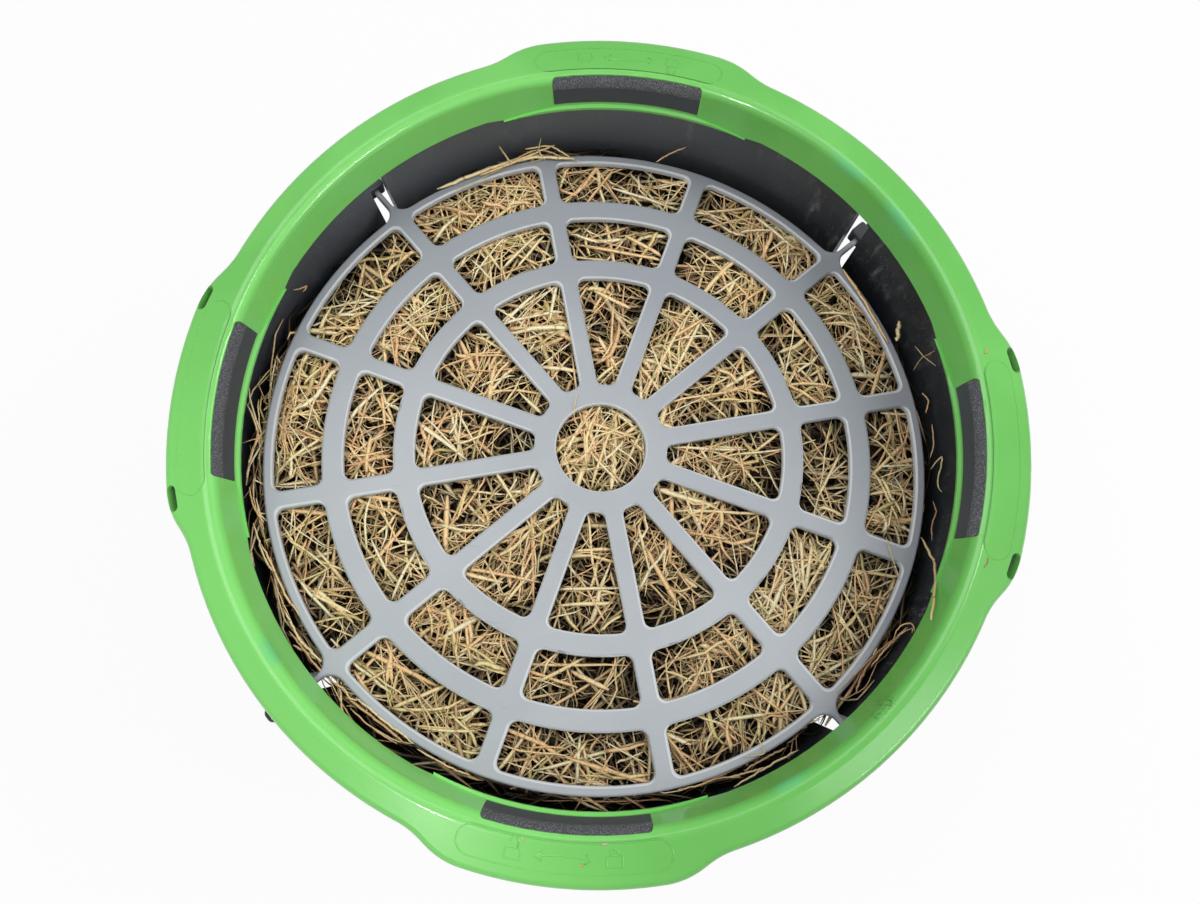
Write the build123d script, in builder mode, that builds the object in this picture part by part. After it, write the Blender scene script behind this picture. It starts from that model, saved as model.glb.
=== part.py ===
"""Round slow hay feeder: a tub with four vertical slots, a twist-lock ring with four handles,
and a spoked grille whose arms ride down the slots as the hay is eaten.

Millimetres and degrees. The origin is the middle of the tub's foot, with +Z up. Handles point
along X and Y, and the slots lie midway between them.
"""

import os
from math import atan, cos, hypot, radians, sin, tan

from build123d import *

os.makedirs("parts", exist_ok=True)

# Sides of the feeder: the handles and the slots between them
handle_angles = {"right": 0, "rear": 90, "left": 180, "front": 270}
slot_angles = {"rear_right": 45, "rear_left": 135, "front_left": 225, "front_right": 315}
side_count = 4
side_step = 360 / side_count

# Whole feeder
overall_height = 600  # floor to the crest of the ring
sliding_gap = 0.4  # between pieces that move past each other
seat_gap = 0.2  # between pieces that one body holds together
overshoot = 1  # how far cuts run past what they cut

# Tub: everything else is set out from its inside radius
tub_radius = 305.4  # inside, level with the crest
tub_draft = 1.3
tub_wall = 4.5
rim_reach = 15.5  # how far the rim's roll stands out from the tub's inside
rim_lip = 3.5
rim_round = 1.4  # its inner corner, under the ring's crest
rim_drop = 14  # outer lip below the roll's outer edge
foot_height = 14
floor_thickness = 6
foot_wall = 9
corner_round = 18
drain_radius = 6
drain_inset = 115  # drain holes' circle, in from the tub's inside

# Slots down the tub's wall, and the jambs that stiffen them
slot_width = 16
slot_bottom = 74
jamb_width = 9
jamb_depth = 6.4  # how far the jambs stand out from the tub's inside, at the rim

# Ring
channel_gap = 5.1  # between the tub's rim and the skirt
ring_wall = 4  # top and skirt
handle_reach = 13  # how far the handles stand out of the ring's edge
handle_half_angle = 15.5  # level part of a handle, each side of its middle
shoulder_half_angle = 20.5  # where the shoulder meets the ring's own edge
shoulder_slack = 3.3  # shortest straight left in a shoulder between its two rounds
crest_inset = 1.9  # start of the ring's sloping top, in from the tub's inside
bore_set = 4  # top of the bore, in and down from there
crest_round = 9
channel_round = 3.5  # inside the crest
bore_draft = 8.5
bore_wall = 3.2
top_slope = 0.34  # fall of the top, per millimetre outwards
top_edge_round = 8
lip_depth = 41  # lip below the crest
skirt_depth = 32  # skirt's edge below the crest
lip_step = 2.8  # how far the lip ends higher between the handles
lip_ramp = 14  # length over which it rises
bead_half_angle = 21  # bead round the lip under each handle
bead_reach = 1.7
bead_height = 5
bead_taper = 45  # length over which each end of a bead runs out

# Windows in the bore and their grip inserts
window_half_angle = 12.15
window_cut = 0.9  # outer edge of the window, in from the crest
window_strip = 8  # bore left under the window
window_round = 3.5  # its upper corners, seen from above
grip_side_gap = 0.07  # degrees
grip_flange_angle = 1  # how far the flange behind the bore passes the window
grip_flange = 1.6
grip_proud = 0.4  # how far the insert stands out of the bore
grip_shoulder = 11  # height of the rounded, textured shoulder

# Tether slots through the rounded edge at the ends of the left and right handles
tether_angle = 14.2
tether_length = 21.5
tether_width = 9
tether_inset = 6  # middle of the slot, in from the handle's edge
tether_rise = 66  # slope of the slot's axis, up and outwards
tether_turn = 5  # how far the slot turns to follow the shoulder

# Twist lock
lug_angle = 32  # middle of each pair of lugs, from the handle before it
lug_half_angle = 4
lug_thickness = 5
lug_drop = 12  # top of the ring's lugs below the roof of the channel
lug_gap = 1  # between a closed ring lug and the tub lug above it

# Grille
grille_gap = 20.6  # between the grille's rim and the tub's inside, level with the crest
grille_thickness = 6
grille_tilt = 5.9  # it lies on uneven hay
grille_tilt_toward = 55.5  # compass angle of its lowest point
grille_shift = (2, -0.9)  # how far it lies off the tub's middle, within the slots' play
keeper_depth = 48.1  # outer end of the highest arm's keeper below the crest
grille_edge_round = 2.2
rim_band = 8.3
outer_depth = 39.8  # radial depth of the three tiers of windows
middle_depth = 41.1
inner_depth = 101.3
tier_band = 18.4  # the two hoops between the tiers
hub_band = 18.7
spoke_count = 12
spoke_width = 15.5
cell_round = 7  # corners of the windows
tip_round = 6.5  # corners of the inner tier

# Arms, keepers and caps
arm_width = 5
arm_root_round = 13
keeper_gap = 3.7  # outside the jambs
keeper_length = 16
keeper_width = 19
keeper_height = 17
keeper_round = 2.5
cap_gap = 2  # bare arm between a keeper and its cap
cap_length = 12
cap_width = 13
cap_round = 5
cap_socket = 9  # length of arm inside a cap

# Hay under the grille
hay_gap = 6  # round its side
hay_top_gap = 3
hay_floor_gap = 0.3

# Sizes that follow; the ring's top would start at crest_z if its crest were not rounded
bore_slope = tan(radians(bore_draft))
corner_inset = bore_set * (1 - bore_slope) / (1 + top_slope * bore_slope)
crest_turn = radians(90 - bore_draft) + atan(top_slope)
round_rise = crest_round * (tan(crest_turn / 2) * cos(radians(bore_draft)) + sin(radians(bore_draft)) - 1)
crest_z = overall_height + round_rise - corner_inset * top_slope
skirt_z = crest_z - skirt_depth
lip_z = crest_z - lip_depth
tub_floor_z = foot_height + floor_thickness
rim_outer = tub_radius + rim_reach
ring_radius = rim_outer + channel_gap + ring_wall
handle_radius = ring_radius + handle_reach
crest_radius = tub_radius - crest_inset
window_radius = crest_radius - window_cut
lip_radius = crest_radius - bore_set - (lip_depth - bore_set) * bore_slope
jamb_radius = tub_radius + jamb_depth
grille_radius = tub_radius - grille_gap
keeper_start = jamb_radius + keeper_gap
cap_start = keeper_start + keeper_length + cap_gap
arm_end = cap_start + cap_socket
highest_angle = grille_tilt_toward + 180 - slot_angles["front_left"]
keeper_rise = (keeper_start + keeper_length) * tan(radians(grille_tilt)) * cos(radians(highest_angle))
grille_depth = keeper_depth + keeper_rise
drain_circle = tub_radius - drain_inset


def bore_radius(z):
    """Radius of the ring's bore at a height: a cone that opens upwards."""
    return lip_radius + (z - lip_z) * tan(radians(bore_draft))


def bore_radius_height(radius):
    """Height at which the bore's cone has a radius."""
    return lip_z + (radius - lip_radius) / bore_slope


def roof_z(radius, below=0.0):
    """Height of the ring's top at a radius, less a distance measured straight down."""
    return crest_z - (radius - crest_radius) * top_slope - below


def tub_inner_radius(z):
    """Radius of the inside of the tub at a height."""
    return tub_radius - (crest_z - z) * tan(radians(tub_draft))


def polar(radius, angle):
    """Point in the plan at a radius and an angle."""
    return (radius * cos(radians(angle)), radius * sin(radians(angle)))


def write(part, name):
    """Label a finished piece and write its STEP file."""
    part.label = name
    export_step(part, f"parts/{name}.step")


# Plan of the ring: a circle with four handles whose shoulders run out on a slant
shoulder_top = Vector(*polar(handle_radius, handle_half_angle))
shoulder_foot = Vector(*polar(ring_radius, shoulder_half_angle))
shoulder_run = shoulder_top - shoulder_foot
handle_apex = shoulder_top + shoulder_run * (shoulder_top.Y / -shoulder_run.Y)
handle_base = shoulder_foot - shoulder_run
shoulder_turn = radians(27)  # a little more than either corner of a shoulder turns
shoulder_round = (shoulder_run.length - shoulder_slack) / 2 / tan(shoulder_turn / 2)

with BuildSketch() as handle_pads:
    with PolarLocations(0, side_count):
        Polygon(
            (handle_apex.X, 0),
            (handle_base.X, handle_base.Y),
            (0, 0),
            (handle_base.X, -handle_base.Y),
            align=None,
        )
    Circle(handle_radius, mode=Mode.INTERSECT)

with BuildSketch() as ring_plan:
    Circle(ring_radius)
    add(handle_pads.sketch)
    fillet(ring_plan.vertices().filter_by(lambda v: v.Y != 0 and v.X != 0), shoulder_round)

with BuildSketch() as channel_plan:
    add(ring_plan.sketch)
    offset(amount=-ring_wall)


def sector(inner, outer, half_angle):
    """Plan of part of an annulus, centred on +X."""
    reach = outer * 1.2 / cos(radians(half_angle))
    with BuildSketch() as plan:
        Circle(outer)
        Circle(inner, mode=Mode.SUBTRACT)
        Polygon(
            (0, 0), polar(reach, -half_angle), polar(reach, half_angle), align=None, mode=Mode.INTERSECT
        )
    return plan.sketch


def window_plan(radius, half_angle):
    """Plan of a window in the bore, with its outer corners rounded."""
    with BuildSketch() as plan:
        add(sector(lip_radius - ring_wall, radius, half_angle))
        fillet(plan.vertices().filter_by(lambda v: v.X > lip_radius), window_round)
    return plan.sketch


# Channel under the ring's top, between the bore's wall and the skirt
channel_reach = handle_radius + ring_wall
channel_corner = crest_radius - (bore_set - bore_wall + (ring_wall - bore_set) * bore_slope) / (1 + top_slope * bore_slope)
with BuildPart() as channel:
    with BuildSketch(Plane.XY.offset(lip_z)):
        add(channel_plan.sketch)
    extrude(amount=lip_depth)
    with BuildSketch(Plane.XZ) as channel_section:
        Polygon(
            (bore_radius(lip_z - overshoot) + bore_wall, lip_z - overshoot),
            (channel_corner, bore_radius_height(channel_corner - bore_wall)),
            (channel_reach, roof_z(channel_reach, ring_wall)),
            (channel_reach, lip_z - overshoot),
            align=None,
        )
        fillet(channel_section.vertices().sort_by(Axis.Y)[-1], channel_round)
    revolve(axis=Axis.Z, mode=Mode.INTERSECT)

# Lower lip of the ring under each handle, with a ramp at each end, and the bead round it
bead_half_width = lip_radius * sin(radians(bead_half_angle))


def lip_band(profile, side_profile):
    """Rings of a profile under the four handles, bounded by a shape seen along each handle."""
    bands = []
    for angle in handle_angles.values():
        with BuildPart() as band:
            with BuildSketch(Plane.XZ):
                Polygon(*profile, align=None)
            revolve(axis=Axis.Z)
            with BuildSketch(Plane.YZ.rotated((0, 0, angle))) as side:
                Polygon(*side_profile, align=None)
            extrude(amount=ring_radius, mode=Mode.INTERSECT)
        bands.append(band.part)
    return bands


lip_under_handles = lip_band(
    [
        (bore_radius(lip_z), lip_z),
        (bore_radius(lip_z) + bore_wall, lip_z),
        (bore_radius(lip_z + bead_height) + bore_wall, lip_z + bead_height),
        (bore_radius(lip_z + bead_height), lip_z + bead_height),
    ],
    [
        (-bead_half_width - lip_ramp, lip_z + lip_step),
        (-bead_half_width, lip_z),
        (bead_half_width, lip_z),
        (bead_half_width + lip_ramp, lip_z + lip_step),
        (bead_half_width, lip_z + bead_height),
        (-bead_half_width, lip_z + bead_height),
    ],
)
lip_beads = lip_band(
    [
        (lip_radius + bore_wall / 2, lip_z),
        (lip_radius - bead_reach, lip_z),
        (lip_radius - bead_reach, lip_z + bead_height - bead_reach),
        (bore_radius(lip_z + bead_height), lip_z + bead_height),
        (lip_radius + bore_wall / 2, lip_z + bead_height),
    ],
    [
        (-bead_half_width, lip_z),
        (bead_half_width, lip_z),
        (bead_half_width - bead_taper, lip_z + bead_height),
        (bead_taper - bead_half_width, lip_z + bead_height),
    ],
)

# Locking ring
with BuildPart() as locking_ring:
    with BuildSketch(Plane.XY.offset(lip_z)):
        add(ring_plan.sketch)
    extrude(amount=lip_depth)
    with BuildSketch(Plane.XZ) as ring_section:
        Polygon(
            (bore_radius(lip_z - overshoot), lip_z - overshoot),
            (crest_radius - corner_inset, roof_z(crest_radius - corner_inset)),
            (channel_reach, roof_z(channel_reach)),
            (channel_reach, lip_z - overshoot),
            align=None,
        )
        fillet(ring_section.vertices().sort_by(Axis.Y)[-1], crest_round)
    revolve(axis=Axis.Z, mode=Mode.INTERSECT)
    outer_edges = [
        edge
        for edge in locking_ring.edges()
        if all(point.Z > skirt_z and hypot(point.X, point.Y) > ring_radius - 1 for point in (edge @ 0, edge @ 1))
    ]
    fillet(outer_edges, top_edge_round)
    add(channel.part, mode=Mode.SUBTRACT)
    # the skirt ends above the bore's lip
    with BuildSketch(Plane.XY.offset(lip_z - overshoot)):
        Circle(channel_reach)
        Circle((crest_radius + ring_radius) / 2, mode=Mode.SUBTRACT)
    extrude(amount=skirt_z - lip_z + overshoot, mode=Mode.SUBTRACT)
    # between the handles the lip ends a little higher
    with BuildSketch(Plane.XY.offset(lip_z - overshoot)):
        Circle((crest_radius + ring_radius) / 2)
    extrude(amount=lip_step + overshoot, mode=Mode.SUBTRACT)
    add(lip_under_handles)
    add(lip_beads)
    # lugs inside the skirt, under the tub's lugs when closed
    lug_top_z = roof_z(ring_radius, ring_wall) - lug_drop
    with BuildSketch(Plane.XY.offset(lug_top_z - lug_thickness)):
        with Locations(*[Location((0, 0, 0), (0, 0, a + lug_angle)) for a in handle_angles.values()]):
            add(sector(rim_outer + sliding_gap, ring_radius - ring_wall / 2, lug_half_angle))
    extrude(amount=lug_thickness)
    # windows
    with BuildSketch(Plane.XY.offset(lip_z + window_strip)):
        with PolarLocations(0, side_count):
            add(window_plan(window_radius, window_half_angle))
    extrude(amount=lip_depth, mode=Mode.SUBTRACT)
    # tether slots
    for name in ("left", "right"):
        for side in (-1, 1):
            angle = handle_angles[name] + side * tether_angle
            toward = angle + side * tether_turn
            radius = handle_radius - tether_inset
            across = Plane(
                origin=(*polar(radius, angle), roof_z(radius)),
                x_dir=(-sin(radians(toward)), cos(radians(toward)), 0),
                z_dir=(*polar(cos(radians(tether_rise)), toward), sin(radians(tether_rise))),
            )
            with BuildSketch(across):
                SlotOverall(tether_length, tether_width)
            extrude(amount=tether_width, both=True, mode=Mode.SUBTRACT)
write(locking_ring.part, "locking_ring")


# Grip inserts: each fills its window, with a flange behind the bore's wall
window_z = lip_z + window_strip
insert_half_angle = window_half_angle - grip_side_gap
insert_top = roof_z(tub_radius, ring_wall) - seat_gap
shoulder_z = crest_z - ring_wall - grip_shoulder
flange_top = crest_z - ring_wall - 2  # clear of the round inside the crest
flange_shoulder = flange_top - 2.8


def insert_back(z):
    """Radius of the back of the inserts, clear of the tub that the ring turns round."""
    return tub_inner_radius(z) - sliding_gap


for side, angle in handle_angles.items():
    with BuildPart() as grip:
        with BuildSketch(Plane.XZ.rotated((0, 0, angle - insert_half_angle))):
            with BuildLine():
                front = Line(
                    (bore_radius(window_z) - grip_proud, window_z + seat_gap),
                    (bore_radius(shoulder_z) - grip_proud, shoulder_z),
                )
                shoulder = TangentArc(front @ 1, (window_radius - seat_gap, insert_top), tangent=front % 1)
                Polyline(
                    shoulder @ 1,
                    (insert_back(insert_top), insert_top),
                    (insert_back(window_z), window_z + seat_gap),
                    front @ 0,
                )
            make_face()
        revolve(axis=Axis.Z, revolution_arc=2 * insert_half_angle)
        with BuildSketch(Plane.XY.offset(lip_z).rotated((0, 0, angle))):
            add(window_plan(window_radius - seat_gap / 2, window_half_angle))
        extrude(amount=lip_depth + overshoot, mode=Mode.INTERSECT)
        with BuildSketch(Plane.XZ.rotated((0, 0, angle - window_half_angle - grip_flange_angle))):
            with BuildLine():
                Polyline(
                    (bore_radius(lip_z + grip_flange) + bore_wall + seat_gap, lip_z + grip_flange),
                    (bore_radius(flange_shoulder) + bore_wall + seat_gap, flange_shoulder),
                    (crest_radius + 0.3, flange_top),
                    (insert_back(flange_top), flange_top),
                    (insert_back(lip_z), lip_z + grip_flange),
                    close=True,
                )
            make_face()
        revolve(axis=Axis.Z, revolution_arc=2 * (window_half_angle + grip_flange_angle))
    write(grip.part, f"{side}_grip")

# Tub: wall, rolled rim, floor and foot in one turned section, then the slots
roof_gap = ring_wall + sliding_gap
tub_outer_foot = tub_inner_radius(0) + tub_wall
with BuildPart() as tub:
    with BuildSketch(Plane.XZ):
        with BuildLine():
            Polyline(
                (0, tub_floor_z),
                (tub_inner_radius(tub_floor_z), tub_floor_z),
                (tub_radius, roof_z(tub_radius, roof_gap)),
                (rim_outer, roof_z(rim_outer, roof_gap)),
                (rim_outer, roof_z(rim_outer, roof_gap) - rim_drop),
                (rim_outer - rim_lip, roof_z(rim_outer, roof_gap) - rim_drop),
                (rim_outer - rim_lip, roof_z(rim_outer, roof_gap) - tub_wall),
                (tub_radius + tub_wall, roof_z(tub_radius, roof_gap) - 2 * tub_wall),
                (tub_outer_foot, 0),
                (tub_outer_foot - foot_wall, 0),
                (tub_outer_foot - foot_wall, foot_height),
                (0, foot_height),
                close=True,
            )
        make_face()
        corner = [v for v in vertices() if abs(v.Z - tub_floor_z) < 0.01 and v.X > 1]
        fillet(corner, corner_round)
        rim_corner = [v for v in vertices() if abs(v.X - tub_radius) < 0.01]
        fillet(rim_corner, rim_round)
    revolve(axis=Axis.Z)
    # jambs beside the slots
    with BuildSketch(Plane.XY.offset(slot_bottom - jamb_width)):
        with PolarLocations(0, side_count, start_angle=side_step / 2):
            with Locations((tub_radius, 0)):
                Rectangle(2 * (jamb_radius - tub_radius), slot_width + 2 * jamb_width)
        Circle(tub_inner_radius(slot_bottom - jamb_width) + tub_wall / 2, mode=Mode.SUBTRACT)
    extrude(amount=roof_z(jamb_radius, roof_gap) - tub_wall - slot_bottom + jamb_width)
    with BuildSketch(Plane.XZ):
        with BuildLine():
            Polyline(
                (0, tub_floor_z),
                (tub_inner_radius(tub_floor_z), tub_floor_z),
                (tub_inner_radius(crest_z), crest_z),
                (0, crest_z),
                close=True,
            )
        make_face()
        corner = [v for v in vertices() if abs(v.Z - tub_floor_z) < 0.01 and v.X > 1]
        fillet(corner, corner_round)
    revolve(axis=Axis.Z, mode=Mode.SUBTRACT)
    # slots, open at the rim
    slot_height = crest_z - slot_bottom
    for angle in slot_angles.values():
        face = Plane(
            origin=(0, 0, slot_bottom),
            x_dir=(-sin(radians(angle)), cos(radians(angle)), 0),
            z_dir=(cos(radians(angle)), sin(radians(angle)), 0),
        )
        with BuildSketch(face):
            with Locations((0, slot_height)):
                SlotOverall(2 * slot_height, slot_width, rotation=90)
        extrude(amount=rim_outer + tub_wall, mode=Mode.SUBTRACT)
    # lugs outside the rim, over the ring's lugs
    with BuildSketch(Plane.XY.offset(lug_top_z + lug_gap)):
        with Locations(*[Location((0, 0, 0), (0, 0, a + lug_angle)) for a in handle_angles.values()]):
            add(sector(rim_outer - rim_lip / 2, ring_radius - ring_wall - sliding_gap, lug_half_angle))
    extrude(amount=lug_thickness)
    with Locations((0, 0, tub_floor_z)):
        with PolarLocations(drain_circle, side_count):
            Hole(drain_radius)
write(tub.part, "tub")

# Grille: one moulding, tilted as it lies on the hay
grille_plane = Plane(
    origin=(*grille_shift, crest_z - grille_depth),
    x_dir=(1, 0, tan(radians(grille_tilt)) * -cos(radians(grille_tilt_toward))),
    z_dir=(
        sin(radians(grille_tilt)) * cos(radians(grille_tilt_toward)),
        sin(radians(grille_tilt)) * sin(radians(grille_tilt_toward)),
        cos(radians(grille_tilt)),
    ),
)


def window_cell(inner, outer, corner):
    """One window between two spokes: an annulus cut by lines alongside the spokes."""
    half_step = 180 / spoke_count
    apex = spoke_width / 2 / sin(radians(half_step))
    reach = 2 * outer
    with BuildSketch() as cell:
        Circle(outer)
        Circle(inner, mode=Mode.SUBTRACT)
        Polygon(
            (apex, 0),
            (apex + reach, reach * tan(radians(half_step))),
            (apex + reach, -reach * tan(radians(half_step))),
            align=None,
            mode=Mode.INTERSECT,
        )
        fillet(cell.vertices(), corner)
    return cell.sketch


hub_hole = grille_radius - rim_band - outer_depth - middle_depth - inner_depth - 2 * tier_band - hub_band
outer_start = grille_radius - rim_band - outer_depth
middle_start = outer_start - tier_band - middle_depth
inner_start = middle_start - tier_band - inner_depth
tiers = (
    (outer_start, outer_depth, cell_round),
    (middle_start, middle_depth, cell_round),
    (inner_start, inner_depth, tip_round),
)

with BuildSketch() as grille_plan:
    Circle(grille_radius)
    with PolarLocations(0, side_count, start_angle=side_step / 2):
        with Locations((grille_radius - spoke_width, 0)):
            Rectangle(
                arm_end - grille_radius + spoke_width, arm_width, align=(Align.MIN, Align.CENTER)
            )
    roots = [v for v in grille_plan.vertices() if abs(hypot(v.X, v.Y) - grille_radius) < 1]
    fillet(roots, arm_root_round)
    Circle(hub_hole, mode=Mode.SUBTRACT)
    for start, depth, corner in tiers:
        with PolarLocations(0, spoke_count):
            add(window_cell(start, start + depth, corner), mode=Mode.SUBTRACT)

with BuildPart(grille_plane) as grille:
    add(grille_plan.sketch)
    extrude(amount=-grille_thickness)
    top = grille.faces().sort_by(Axis((0, 0, 0), tuple(grille_plane.z_dir)))[-1]
    fillet(top.edges(), grille_edge_round)
write(grille.part, "grille")

# Keepers and caps on the arms, outside the tub
arm_middle = -grille_thickness / 2
for corner_name, angle in slot_angles.items():
    arm_plane = Plane(grille_plane.location * Location((0, 0, arm_middle), (0, 0, angle)))
    with BuildPart(arm_plane) as keeper:
        with Locations((keeper_start, 0, 0)):
            Box(keeper_length, keeper_width, keeper_height, align=(Align.MIN, Align.CENTER, Align.CENTER))
        fillet(keeper.edges(), keeper_round)
        with Locations((keeper_start, 0, 0)):
            Box(
                keeper_length,
                arm_width + seat_gap,
                grille_thickness + seat_gap,
                align=(Align.MIN, Align.CENTER, Align.CENTER),
                mode=Mode.SUBTRACT,
            )
    write(keeper.part, f"{corner_name}_keeper")
    with BuildPart(arm_plane) as cap:
        with Locations((cap_start, 0, 0)):
            Box(cap_length, cap_width, cap_width, align=(Align.MIN, Align.CENTER, Align.CENTER))
        fillet(cap.edges(), cap_round)
        with Locations((cap_start, 0, 0)):
            Box(
                arm_end + seat_gap - cap_start,
                arm_width + seat_gap,
                grille_thickness + seat_gap,
                align=(Align.MIN, Align.CENTER, Align.CENTER),
                mode=Mode.SUBTRACT,
            )
    write(cap.part, f"{corner_name}_cap")

# Hay: a plain fill from the floor to just under the grille
with BuildPart() as hay:
    fill_floor = tub_floor_z + hay_floor_gap
    with BuildSketch(Plane.XZ):
        with BuildLine():
            Polyline(
                (0, fill_floor),
                (tub_inner_radius(fill_floor) - hay_gap - corner_round, fill_floor),
                (tub_inner_radius(fill_floor + corner_round) - hay_gap, fill_floor + corner_round),
                (tub_inner_radius(crest_z) - hay_gap, crest_z),
                (0, crest_z),
                close=True,
            )
        make_face()
    revolve(axis=Axis.Z)
    split(bisect_by=grille_plane.offset(-grille_thickness - hay_top_gap), keep=Keep.BOTTOM)
write(hay.part, "hay_fill")
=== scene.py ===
from math import atan2, cos, pi, radians, sin

import bpy
import numpy as np
from mathutils import Matrix, Vector


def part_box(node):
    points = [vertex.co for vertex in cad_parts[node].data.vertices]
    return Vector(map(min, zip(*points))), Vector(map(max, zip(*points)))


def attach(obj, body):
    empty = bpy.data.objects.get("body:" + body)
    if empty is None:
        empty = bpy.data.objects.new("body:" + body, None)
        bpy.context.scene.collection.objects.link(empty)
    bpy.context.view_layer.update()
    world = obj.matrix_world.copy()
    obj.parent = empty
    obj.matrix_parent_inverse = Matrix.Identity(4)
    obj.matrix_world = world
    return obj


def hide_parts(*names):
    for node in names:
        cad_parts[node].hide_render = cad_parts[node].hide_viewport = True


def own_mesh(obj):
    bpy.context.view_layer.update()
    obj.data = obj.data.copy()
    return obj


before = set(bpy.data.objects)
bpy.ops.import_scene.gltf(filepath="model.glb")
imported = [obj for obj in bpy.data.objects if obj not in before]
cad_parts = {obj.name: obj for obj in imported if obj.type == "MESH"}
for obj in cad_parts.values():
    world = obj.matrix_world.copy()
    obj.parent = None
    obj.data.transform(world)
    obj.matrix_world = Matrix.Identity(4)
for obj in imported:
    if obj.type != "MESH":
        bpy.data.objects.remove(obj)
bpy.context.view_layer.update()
print("frame loaded:", len(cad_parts), "nodes")

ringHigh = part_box("locking_ring")[1]
crestZ = ringHigh.z + 0.00189  # where the slope of the ring's top would start without the crest's round
hayLow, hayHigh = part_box("hay_fill")
handles = {"right": 0, "rear": 90, "left": 180, "front": 270}

view = {
    "lens": 28.8, "sensor": 36, "side": -0.0023, "back": -0.161, "above": 0.741, "edgeDrop": 0.012,
    "pitch": 10.86, "yaw": -0.1, "roll": -0.65, "turn": 5.24, "frame": (1200, 904),
}
turned = Matrix.Rotation(radians(view["turn"]), 4, "Z")
spot = Matrix.Translation((view["side"], view["back"], crestZ - view["edgeDrop"] + view["above"]))
aim = Matrix.Rotation(radians(view["roll"]), 4, "Z") @ Matrix.Rotation(radians(view["yaw"]), 4, "Y")
seenFrom = turned @ spot @ aim @ Matrix.Rotation(radians(view["pitch"]), 4, "X")


def lineThrough(px, py):  # the camera's line through a pixel of its frame
    width, height = view["frame"]
    focal = view["lens"] / view["sensor"] * width
    return seenFrom.to_3x3() @ Vector(((px - width / 2) / focal, (height / 2 - py) / focal, -1))


# a shader socket, on which + - * / and comparisons write Math nodes
class Wire:
    def __init__(self, recipe, socket):
        self.recipe = recipe
        self.socket = socket

    def maths(self, operation, *others):
        return self.recipe.maths(operation, self, *others)

    def __add__(self, other):
        return self.maths("ADD", other)

    def __radd__(self, other):
        return self.recipe.maths("ADD", other, self)

    def __sub__(self, other):
        return self.maths("SUBTRACT", other)

    def __rsub__(self, other):
        return self.recipe.maths("SUBTRACT", other, self)

    def __mul__(self, other):
        return self.maths("MULTIPLY", other)

    def __rmul__(self, other):
        return self.recipe.maths("MULTIPLY", other, self)

    def __truediv__(self, other):
        return self.maths("DIVIDE", other)

    def __gt__(self, other):
        return self.maths("GREATER_THAN", other)

    def step(self, low, high):  # 0 at low, 1 at high, smooth between them
        ends = {0: self, 1: low, 2: high}
        return self.recipe.node("ShaderNodeMapRange", {"interpolation_type": "SMOOTHSTEP"}, ends)


# one procedural material
class Recipe:
    def __init__(self, name):
        self.material = bpy.data.materials.new(name)
        self.material.use_nodes = True
        self.tree = self.material.node_tree
        self.tree.nodes.clear()
        self.output = self.tree.nodes.new("ShaderNodeOutputMaterial")
        self.place = self.node("ShaderNodeTexCoord", {}, {}, "Object")

    def node(self, kind, settings, values, out=0):
        made = self.tree.nodes.new(kind)
        for key, value in settings.items():
            if key == "stops":
                ramp = made.color_ramp
                while len(ramp.elements) < len(value):
                    ramp.elements.new(0.5)
                for element, (position, colour) in zip(ramp.elements, value):
                    element.position = position
                    element.color = (*colour, 1)
            else:
                setattr(made, key, value)
        for key, value in values.items():
            if isinstance(value, Wire):
                self.tree.links.new(value.socket, made.inputs[key])
            else:
                made.inputs[key].default_value = value
        return Wire(self, made.outputs[out])

    def maths(self, operation, *values):
        return self.node("ShaderNodeMath", {"operation": operation}, dict(enumerate(values)))

    def noise(self, scale, detail=3, roughness=0.5, place=None):
        values = {"Vector": place or self.place, "Scale": scale, "Detail": detail, "Roughness": roughness}
        return self.node("ShaderNodeTexNoise", {}, values)

    def cells(self, scale):
        return self.node("ShaderNodeTexVoronoi", {"feature": "F1"}, {"Vector": self.place, "Scale": scale})

    def stretched(self, scale, turn=(0, 0, 0)):
        return self.node("ShaderNodeMapping", {}, {"Vector": self.place, "Scale": scale, "Rotation": turn})

    def mix(self, factor, first, second):
        ends = [value if isinstance(value, Wire) else (*value, 1) for value in (first, second)]
        return self.node("ShaderNodeMix", {"data_type": "RGBA"}, {0: factor, 6: ends[0], 7: ends[1]}, 2)

    def ramp(self, value, stops):
        return self.node("ShaderNodeValToRGB", {"stops": stops}, {0: value})

    def bump(self, height, distance, strength=1.0, under=None):
        values = {"Height": height, "Distance": distance, "Strength": strength}
        if under:
            values["Normal"] = under
        return self.node("ShaderNodeBump", {}, values)

    def axes(self, place=None):
        parts = self.tree.nodes.new("ShaderNodeSeparateXYZ")
        self.tree.links.new((place or self.place).socket, parts.inputs[0])
        return [Wire(self, socket) for socket in parts.outputs]

    def finish(self, **values):
        shader = self.node("ShaderNodeBsdfPrincipled", {}, {})
        self.tree.links.new(shader.socket, self.output.inputs[0])
        sockets = shader.socket.node.inputs
        for key, value in values.items():
            socket = sockets[key.replace("_", " ")]
            if isinstance(value, Wire):
                self.tree.links.new(value.socket, socket)
            else:
                socket.default_value = value
        return self.material


# a colour as a screen shows it, made linear for the shader
def paint(*levels):
    return tuple(v / 255 / 12.92 if v < 10.3 else ((v / 255 + 0.055) / 1.055) ** 2.4 for v in levels)


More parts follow.
